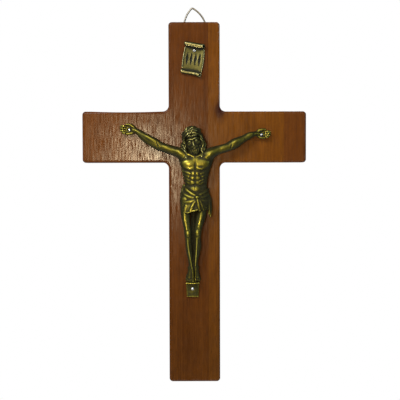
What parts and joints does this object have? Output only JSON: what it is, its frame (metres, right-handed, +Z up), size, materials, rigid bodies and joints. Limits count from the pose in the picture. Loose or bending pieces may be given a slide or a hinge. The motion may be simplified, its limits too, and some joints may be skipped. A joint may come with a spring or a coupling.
{
  "type": "wall crucifix",
  "caption": "Wooden cross glued up from upright staves, with a cast antique-brass figure and scroll nailed to its front and a wire hanging ring on a strap at the back.",
  "frame": {"origin": "on the flat back of the cross, at the middle of the crossing", "axes": "+Z up the upright, +Y out of the back towards the wall, +X to the right of a viewer in front"},
  "size_m": [0.186, 0.0376, 0.3142],
  "materials": {
    "varnished_wood": "reddish-brown stained hardwood under satin varnish, upright grain",
    "antique_brass": "cast brass, brushed bright on the high points, near-black patina in the recesses",
    "nail_steel": "bright nickel-plated steel",
    "hanger_steel": "dull zinc-plated steel"
  },
  "bodies": {
    "cross": {"stave_outer_left": "varnished_wood", "stave_inner_left": "varnished_wood", "stave_inner_right": "varnished_wood", "stave_outer_right": "varnished_wood", "corpus": "antique_brass", "titulus_scroll": "antique_brass", "nail_left_hand": "nail_steel", "nail_right_hand": "nail_steel", "nail_footrest": "nail_steel", "nail_titulus": "nail_steel", "hanger_screw": "hanger_steel"},
    "strap": {"hanger_strap": "hanger_steel"},
    "ring": {"hanger_ring": "hanger_steel"}
  },
  "joints": [
    {"name": "hanger_swivel", "type": "hinge", "parent": "cross", "child": "strap", "pos_m": [0.00275, -0.00235, 0.0792], "axis": [0, 1, 0], "range_deg": [-12, 12]},
    {"name": "ring_swing", "type": "hinge", "parent": "strap", "child": "ring", "pos_m": [0.00152, -0.00235, 0.08761], "axis": [-0.9895, 0, -0.1444], "range_deg": [0, 165]}
  ]
}
